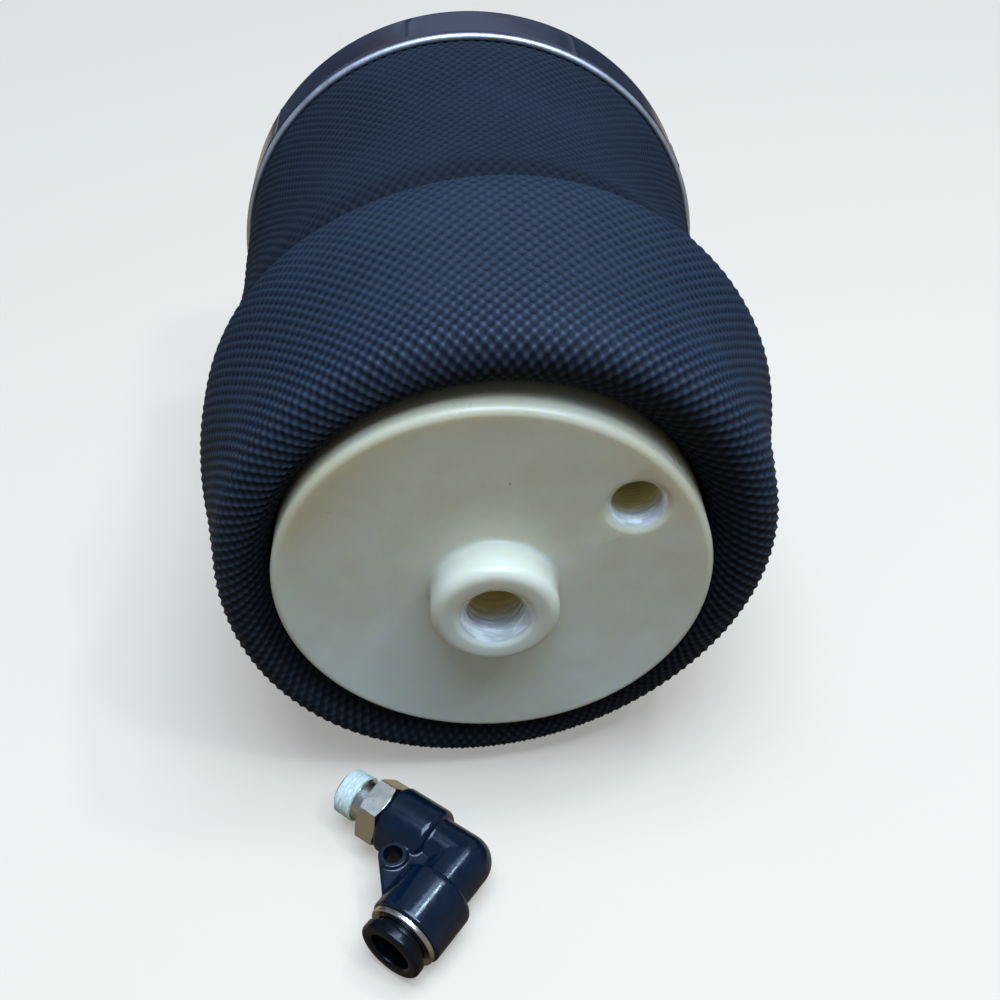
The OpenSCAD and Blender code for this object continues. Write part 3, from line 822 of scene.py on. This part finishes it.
def build_crimp_ring():
    """Drawn steel ring: full round front lip, band swaged flat by nine jaws, bent rear flange."""
    sheet, lip, bend = 1.4, 0.8, 1.8
    inner = RING_R - sheet
    flange = inner - 4.4
    front, back = RING_FRONT, TOP_FACE

    def jaw_lines(radius, height, angle):
        """A thin ridge where two jaws met, between two shallow hollows."""
        if radius < RING_R - 0.5 or not front + 1.6 < height < back - 1.8:
            return radius
        turn = ((angle - JAW_START) / JAW + 0.5) % 1 - 0.5
        ridge = 0.22 * math.exp(-(turn / 0.015) ** 2)
        return radius + ridge - 0.05 * math.exp(-((abs(turn) - 0.05) / 0.03) ** 2)

    profile = [(inner - 0.2, front + 1.5)]
    profile += arc((RING_R - lip, front + lip), lip, 180, 360, 16)
    profile += [(RING_R - 0.06, front + 1.3), (RING_R - 0.16, front + 1.7),
                (RING_R - 0.16, front + 2.0), (RING_R, front + 2.5)]
    profile += wall(RING_R, front + 3.2, back - 2.2, 2.5)
    profile += arc((RING_R - bend, back - bend), bend, 0, 90, 8)
    profile += [(flange + 0.4, back), (flange + 0.1, back - 0.1), (flange, back - 0.4),
                (flange, back - sheet + 0.3), (flange + 0.3, back - sheet),
                (inner - 0.6, back - sheet), (inner, back - sheet - 0.6), (inner, front + 2.2)]
    obj = settle("crimp_ring", moved(lathe(profile, 900, jaw_lines), AXIS_Y), PLATED,
                 "top", "upper_crimp_ring", "plated_steel", 40)
    obj.data.materials.append(EDGE)
    for face in obj.data.polygons:
        face.material_index = int(face.center.y / MM < front + 1.5)


WEB = RING_FRONT - 1                # the plate's front
PLATE_FLOOR = WEB + 5
PLATE_R = box("top_plate")[1][0]
RIM_R = PLATE_R - 4.7
HUB_R, NUT_BOSS_R = 13.0, 9.0
RIBS, RIB_HALF = 12, 1.2
RIB_END = 1                         # how far a rib reaches into what it joins
NUT_DEPTH = 16


def build_top_plate():
    """Moulded plate: barbed wall, web, twelve ribs, dished hub and the bosses of the nuts."""
    places = (-NUT_SPAN, NUT_SPAN)
    wells = [shifted(rod(NUT_R + 1, TOP_FACE - NUT_DEPTH - 0.4, TOP_FACE + 1, AXIS_Z), x, 0)
             for x in places]
    meshes = [cut(plate_body(), wells)] + [shifted(nut_boss(), x, 0) for x in places]
    bottom, top = PLATE_FLOOR - 2, TOP_FACE - 0.5
    for k in range(RIBS):
        spans = [(HUB_R - RIB_END, RIM_R + RIB_END)]
        if k % (RIBS // 2) == 0:
            spans = [(HUB_R - RIB_END, NUT_SPAN - NUT_R - 1.5),
                     (NUT_SPAN + NUT_R + 1.5, RIM_R + RIB_END)]
        for start, end in spans:
            rib = prism([(start, -RIB_HALF), (end, -RIB_HALF), (end, RIB_HALF), (start, RIB_HALF)],
                        top - bottom)
            rib = shifted(rounded(rib, 0.5), 0, 0, (top + bottom) / 2)
            meshes.append(moved(rib, Matrix.Rotation(k * TAU / RIBS, 4, "Z")))
    settle("plate", moved(merged("plate", meshes), AXIS_Y), PLATE_NYLON,
           "top", "top_plate", "plate_nylon", 40)


def plate_body():
    """The turned part of the plate: landing for the bump stop, web, three barbs, rim and hub."""
    outer, rim, land, back, floor, hub = PLATE_R, RIM_R, RING_R - 6.0, TOP_FACE, PLATE_FLOOR, HUB_R
    landing, sunk = box("bump_stop")[1][0] + 2, WEB + 0.15
    profile = [(0, sunk), (landing, sunk), (landing + 0.5, WEB)]
    profile += [(outer - 1, WEB), (outer - 0.3, WEB + 0.3), (outer, WEB + 1)]
    for barb in (WEB + 3, WEB + 6, WEB + 9):
        profile += [(outer, barb), (outer - 0.4, barb + 0.4), (outer, barb + 0.8)]
    profile += [(outer, back - 2.0), (outer - 0.4, back - 1.6), (land, back - 1.6),
                (land, back - 0.4), (land - 0.4, back)]
    profile += arc((rim + 0.6, back - 0.6), 0.6, 90, 180, 4)
    profile += arc((rim - 1.2, floor + 1.2), 1.2, 0, -90, 5)
    profile += arc((hub + 1.2, floor + 1.2), 1.2, -90, -180, 5)
    profile += arc((hub - 0.7, back - 0.7), 0.7, 0, 90, 4)
    profile += [(hub - 3.6, back), (hub - 4.2, back - 0.15), (1.2, back - 2.9), (0, back - 3)]
    return outward(lathe(profile, 240))


def nut_boss():
    """The blind boss round a nut, its foot sunk in the web."""
    back, floor, boss, bottom = TOP_FACE, PLATE_FLOOR, NUT_BOSS_R, TOP_FACE - NUT_DEPTH
    profile = [(NUT_R, bottom), (NUT_R, back - 0.4), (NUT_R + 0.4, back)]
    profile += arc((boss - 0.6, back - 0.6), 0.6, 90, 0, 4)
    profile += arc((boss + 0.9, floor + 0.9), 0.9, 180, 270, 4)[:-1]
    profile += [(boss + 0.9, floor - 1), (boss, floor - 1.2), (boss, WEB + 1.5),
                (boss - 1, WEB + 0.5), (0, WEB + 0.5), (0, bottom)]
    return outward(lathe(profile, 96))


def build_nuts():
    """Two knurled brass inserts with cut threads, moulded into the plate."""
    hole_r = mount("top_nuts")[0]["hole_r_mm"]
    back, depth = NUT_BACK, NUT_BACK - 13
    grooves = [(back - 5.5, back - 4), (back - 10.5, back - 9)]
    knurls, groove, soft = 18, 0.35, 0.25
    cut_thread = thread(hole_r, 0.6, PITCH_M8, depth, back - 1)

    def detail(radius, height, angle):
        if abs(radius - hole_r) < 1e-4:
            return cut_thread(radius, height, angle)
        knurled = not any(a - 0.2 < height < b + 0.2 for a, b in grooves)
        if abs(radius - NUT_R) < 1e-4 and knurled:
            return radius - 0.22 * abs(math.sin(knurls * angle))
        return radius

    profile = [(0, depth - 1.5)] + wall(hole_r, depth, back - 1, 0.16)
    profile += [(hole_r + 0.9, back - 0.1), (hole_r + 1.1, back), (NUT_R - 0.6, back),
                (NUT_R - 0.3, back - 0.2), (NUT_R, back - 0.5)]
    for low, high in reversed(grooves):
        profile += [(NUT_R, high + soft), (NUT_R - groove, high), (NUT_R - groove, low),
                    (NUT_R, low - soft)]
    profile += [(NUT_R, NUT_FRONT + 0.5), (NUT_R - 0.5, NUT_FRONT), (0, NUT_FRONT)]
    meshes = [shifted(lathe(profile, 144, detail), side * NUT_SPAN, 0) for side in (-1, 1)]
    settle("blind_nut_pair", moved(merged("nuts", meshes), AXIS_Y), BRASS,
           "top", "blind_nuts", "brass", 38)


# Air fitting, in its own frame: thread along +X, tube along +Y, the elbow's centre at the origin

def fitting_frame():
    """Where the fitting's own frame lies."""
    along = mount("air_thread")[2]
    joints = frame["record"]["behaviour"]["joints"]
    joint = next(j for j in joints if j["name"] == "elbow_swivel")
    turn = Matrix.Rotation(math.atan2(along.y, along.x), 4, "Z")
    return Matrix.Translation(Vector(joint["pos_m"]) / MM) @ turn


FITTING_FRAME = fitting_frame()
SWIVEL_R, SOCKET_R, ELBOW_R = 6.85, 7.5, 5.5
SWIVEL_START, SOCKET_START, SOCKET_END = 6.6, 7.5, 18.0
STEM_R, STEM_START, CHAMBER_R, TUBE_R, PASSAGE_R = 4.65, 7.2, 6.0, 4.05, 2.7
HEX_AF, HEX_START, HEX_LEN, HEX_TURN = 12.0, 17.2, 4.7, 20
HEX_END = HEX_START + HEX_LEN
THREAD_START, THREAD_END, THREAD_R = 24.4, 29.0, 4.865
LUG_PLACE, LUG_R, LUG_HOLE_R, LUG_HEIGHT = (10.3, 8.2), 2.85, 1.9, 8.0


def fit_piece(name, mesh, *rest):
    """Puts a mesh of the fitting's frame in place and settles it."""
    settle(name, moved(mesh, FITTING_FRAME), *rest)


def build_elbow():
    """Moulded elbow: swivel barrel, bend, tube socket and tie lug, all with soft moulded edges."""
    face, (lug_x, lug_y) = HEX_START - 0.2, LUG_PLACE
    swivel = bar([(0, 0), (ELBOW_R, 0), (ELBOW_R, SWIVEL_START + 0.1)]
                 + arc((SWIVEL_R - 1.5, SWIVEL_START + 1.3), 1.5, -60, 0, 6)
                 + arc((SWIVEL_R - 0.7, face - 0.7), 0.7, 0, 90, 5) + [(0, face)], AXIS_X)
    socket = bar([(0, 0), (ELBOW_R, 0), (ELBOW_R, SOCKET_START + 0.1)]
                 + arc((SOCKET_R - 1.3, SOCKET_START + 1.1), 1.3, -60, 0, 6)
                 + arc((SOCKET_R - 0.45, SOCKET_END - 0.45), 0.45, 0, 90, 4)
                 + [(0, SOCKET_END)], AXIS_Y)
    bend = bpy.data.meshes.new("bend")
    with editing(bend) as ball:
        bmesh.ops.create_uvsphere(ball, u_segments=64, v_segments=32, radius=ELBOW_R)
    lug = shifted(rod(LUG_R, -LUG_HEIGHT / 2, LUG_HEIGHT / 2, AXIS_Z, 64), lug_x, lug_y)
    web = prism([(3.5, 3.5), (lug_x, SWIVEL_R - 1.5), (lug_x + 2, lug_y + 2),
                 (SOCKET_R - 0.5, lug_y + 7.4)], LUG_HEIGHT - 1.3)
    body = softened(merged("moulding", [swivel, socket, bend, lug, web]), voxel=0.2, rounds=9)
    holes = [rod(STEM_R, SWIVEL_START + 1, HEX_START + 1, AXIS_X),
             rod(PASSAGE_R, -1, SWIVEL_START + 2, AXIS_X), rod(PASSAGE_R, -1, 5, AXIS_Y),
             rod(TUBE_R, 3.5, 9, AXIS_Y), rod(CHAMBER_R, 8.6, SOCKET_END + 1, AXIS_Y),
             shifted(rod(LUG_HOLE_R, -6, 6, AXIS_Z, 64), lug_x, lug_y)]
    fit_piece("elbow", cut(body, holes), FITTING, "elbow", "elbow_body", "fitting_plastic", 45)


def build_nipple():
    """Plated brass nipple: chamfered hexagon, neck and the taper thread's core."""
    stem_r, neck_r, core_r = STEM_R - 0.05, THREAD_R - 0.65, THREAD_R - 0.4
    shank = [(PASSAGE_R, STEM_START), (stem_r, STEM_START), (stem_r, HEX_START + 0.5),
             (neck_r + 0.3, HEX_END - 0.4), (neck_r + 0.3, HEX_END), (neck_r, HEX_END + 0.2),
             (neck_r, THREAD_START - 0.1), (THREAD_R - 0.45, THREAD_START + 0.1)]
    shank += wall(core_r, THREAD_START + 0.2, THREAD_END - 0.6, 0.1)
    shank += [(neck_r - 0.15, THREAD_END - 0.08), (neck_r - 0.25, THREAD_END),
              (PASSAGE_R + 0.35, THREAD_END), (PASSAGE_R, THREAD_END - 0.3)]
    core = thread(core_r, -0.45, PITCH_TAPER, THREAD_START + 0.2, THREAD_END - 0.6)
    body = merged("nipple", [hexagon(), bar(shank, AXIS_X, 128, core)])
    fit_piece("hex_nipple", body, NICKEL, "fitting", "nipple", "nickel", 28)


def hexagon():
    """The nipple's hexagon: soft edges, corners chamfered at both ends, and a way through."""
    corner, flat, chamfer = HEX_AF / math.sqrt(3), HEX_AF / 2 - 0.15, 0.55
    turns = [math.radians(HEX_TURN + 60 * k) for k in range(6)]
    blank = prism([(corner * math.cos(t), corner * math.sin(t)) for t in turns], HEX_LEN)
    at_middle = AXIS_X @ Matrix.Translation((0, 0, HEX_START + HEX_LEN / 2))
    tip = corner + 0.1
    chamfers = bar([(0, HEX_START), (flat, HEX_START), (tip, HEX_START + chamfer),
                    (tip, HEX_END - chamfer), (flat, HEX_END), (0, HEX_END)], AXIS_X)
    blank = cut(moved(rounded(blank, 0.18), at_middle), [chamfers], "INTERSECT")
    return cut(blank, [rod(PASSAGE_R + 0.5, HEX_START - 1, HEX_END + 1, AXIS_X)])


def build_sealant():
    """The white coat on the thread: it follows the turns and thins out unevenly at both ends."""
    start, end = THREAD_START + 0.15, THREAD_END - 0.45
    edge_r = THREAD_R - 0.75
    coat = thread(THREAD_R, -0.34, PITCH_TAPER, start + 0.1, end - 0.1)

    def detail(radius, height, angle):
        if abs(radius - THREAD_R) > 1e-4:
            return radius
        lumps = 0.04 * math.sin(7 * angle + 5 * height) + 0.03 * math.sin(17 * angle - 9 * height)
        return coat(radius, height, angle) - 0.06 + lumps - 0.03 * (height - start)

    profile = [(edge_r, start)] + wall(THREAD_R, start + 0.1, end - 0.1, 0.09) + [(edge_r, end)]
    fit_piece("sealant_coat", bar(profile, AXIS_X, 144, detail), SEALANT,
              "fitting", "thread_sealant", "sealant", 60)


def build_rings():
    """Metal guide ring in the socket's mouth, and the release ring that slides in it."""
    start, bed, lip_r, lip_end = 14.4, SOCKET_END + 0.02, SOCKET_R - 0.5, SOCKET_END + 1.1
    outer = CHAMBER_R - 0.02
    guide = [(CHAMBER_R - 0.75, start), (outer, start), (outer, bed)]
    guide += [(lip_r - 0.2, bed), (lip_r, SOCKET_END + 0.2)]
    guide += arc((lip_r - 0.4, lip_end - 0.4), 0.4, 0, 90, 6)
    guide += [(CHAMBER_R - 0.55, lip_end), (CHAMBER_R - 0.7, lip_end - 0.15)]
    fit_piece("guide_lip", bar(guide, AXIS_Y, 128), NICKEL, "elbow", "guide_ring", "nickel")

    start, top, inner, outer, flange_r = 14.75, 22.7, 4.15, CHAMBER_R - 0.8, 6.5
    under = top - 2.4
    release = [(inner, start), (outer - 0.5, start), (outer, start + 0.6), (outer, under - 0.2),
               (outer + 0.2, under)]
    release += arc((flange_r - 0.5, under + 0.5), 0.5, -90, 0, 5)
    release += arc((flange_r - 0.75, top - 0.75), 0.75, 0, 90, 7)
    release += arc((inner + 0.7, top - 0.7), 0.7, 90, 180, 7)
    fit_piece("release_button", bar(release, AXIS_Y, 128), RELEASE,
              "release", "release_ring", "release_plastic", 40)


# Carried-over CAD pieces

CARRIED = {
    "piston_cap": NYLON, "lower_crimp_ring": ZINC, "bump_stop": SOFT, "bump_stop_sleeve": ZINC,
    "bump_stop_washer": ZINC, "bump_stop_screw": ZINC, "swivel_seal": SOFT, "tube_seal": SOFT,
    "seal_spacer": RELEASE, "collet": CLAW,
}


def finish_carried():
    """Gives the CAD pieces that stay, all hidden or nearly so, their finish."""
    for node, material in CARRIED.items():
        for entry in frame["nodes"][node].material_slots:
            entry.material = material


# Studio

COOL = (0.60, 0.80, 1.0)
LIGHTS = [  # name, place, aim, side of the square, power, tint
    ("overhead", (0.06, -0.10, 0.90), (0.03, -0.02, 0), 0.65, 15.4, (0.50, 0.675, 1.0)),
    ("lamp", (0.42, -0.23, 0.79), (0, 0, 0), 0.08, 1.5, COOL),
    ("glint", (0.36, 0.11, 0.81), (0, 0, 0), 0.06, 1.3, COOL),
]
TABLE_REACH = 12.0
NEAR_GLOW, FAR_GLOW, WHITE = (0.29, 0.29, 0.29), (0.95, 0.95, 0.95), (1.0, 1.0, 1.0)
# Stops of height over the horizon, -1 to 1, and the room's light there
BENCH_SIDE = [(-1.0, (0.05, 0.045, 0.035)), (-0.6, (0.20, 0.18, 0.14)), (-0.1, (0.31, 0.29, 0.23)),
              (0.1, (0.24, 0.25, 0.25)), (0.5, (0.21, 0.25, 0.32)), (1.0, (0.12, 0.16, 0.26))]
WALL_SIDE = [(-1.0, (0.04, 0.035, 0.025)), (-0.6, (0.40, 0.36, 0.27)), (-0.36, (0.52, 0.47, 0.36)),
             (-0.24, (0.05, 0.065, 0.10)), (0.14, (0.05, 0.075, 0.13)), (0.36, (0.22, 0.27, 0.37)),
             (1.0, (0.12, 0.16, 0.26))]


def build_lights():
    for name, place, aim, size, power, tint in LIGHTS:
        light = bpy.data.lights.new(name, "AREA")
        light.shape = "RECTANGLE"
        light.size = light.size_y = size
        light.energy = power
        light.color = tint
        obj = in_scene(name, light)
        obj.location = place
        obj.rotation_euler = (Vector(aim) - Vector(place)).to_track_quat("-Z", "Y").to_euler()


def build_floor():
    """A pale table that turns white far off. Its bounce and mirror image are left to the world."""
    reach, z = TABLE_REACH, TABLE_Z * MM
    corners = [(-reach, -reach, z), (reach, -reach, z), (reach, reach, z), (-reach, reach, z)]
    floor = in_scene("floor", raw_mesh("floor", corners, [(0, 1, 2, 3)]))
    f = Finish("floor_paint", Roughness=0.9, Specular_IOR_Level=0.1, Emission_Strength=1.0)
    distance = f.add("ShaderNodeVectorMath", {0: f.place}, operation="LENGTH").outputs["Value"]
    far = f.span(distance, 0.25, 1.6)
    set_finish(floor, f.out(Base_Color=f.mix(far, linear(196, 178, 152), (0.1, 0.1, 0.1)),
                            Emission_Color=f.mix(far, NEAR_GLOW, FAR_GLOW)))
    floor.visible_diffuse = False
    floor.visible_glossy = False


def build_world():
    """A room: bright bench in front, dark wall behind, warm floor, and white to the camera."""
    world = bpy.data.worlds.new("studio")
    world.use_nodes = True
    bpy.context.scene.world = world
    w = Nodes(world.node_tree)
    _, forward, up = w.split(w.coordinates("Generated"))

    def ramp(stops):
        node = w.add("ShaderNodeValToRGB", {"Fac": w.span(up, -1, 1)})
        while len(node.color_ramp.elements) < len(stops):
            node.color_ramp.elements.new(0.5)
        for element, (height, color) in zip(node.color_ramp.elements, stops):
            element.position = (height + 1) / 2
            element.color = (*color, 1)
        return node.outputs["Color"]

    room = w.mix(w.span(forward, -0.15, 0.25), ramp(BENCH_SIDE), ramp(WALL_SIDE))
    seen = w.add("ShaderNodeLightPath").outputs["Is Camera Ray"]
    w.feed(w.tree.nodes["Background"].inputs["Color"], w.mix(seen, room, WHITE))


def build_camera():
    """The photograph's viewpoint: from above the front, looking down at the piston's face."""
    lens = bpy.data.cameras.new("photo_camera")
    lens.sensor_width = 36.0
    lens.lens = 43.2
    lens.clip_start = 0.01
    camera = in_scene("photo_camera", lens)
    camera.location = (-0.0071, -0.1527, 0.1545)
    camera.rotation_euler = (math.radians(48.85), 0, math.radians(-3.09))
    bpy.context.scene.camera = camera


build_camera()
build_world()
build_floor()
build_lights()
bpy.context.scene.view_settings.view_transform = "Standard"
build_piston()
build_sleeve()
build_crimp_ring()
build_nuts()
build_top_plate()
build_elbow()
build_nipple()
build_sealant()
build_rings()
finish_carried()
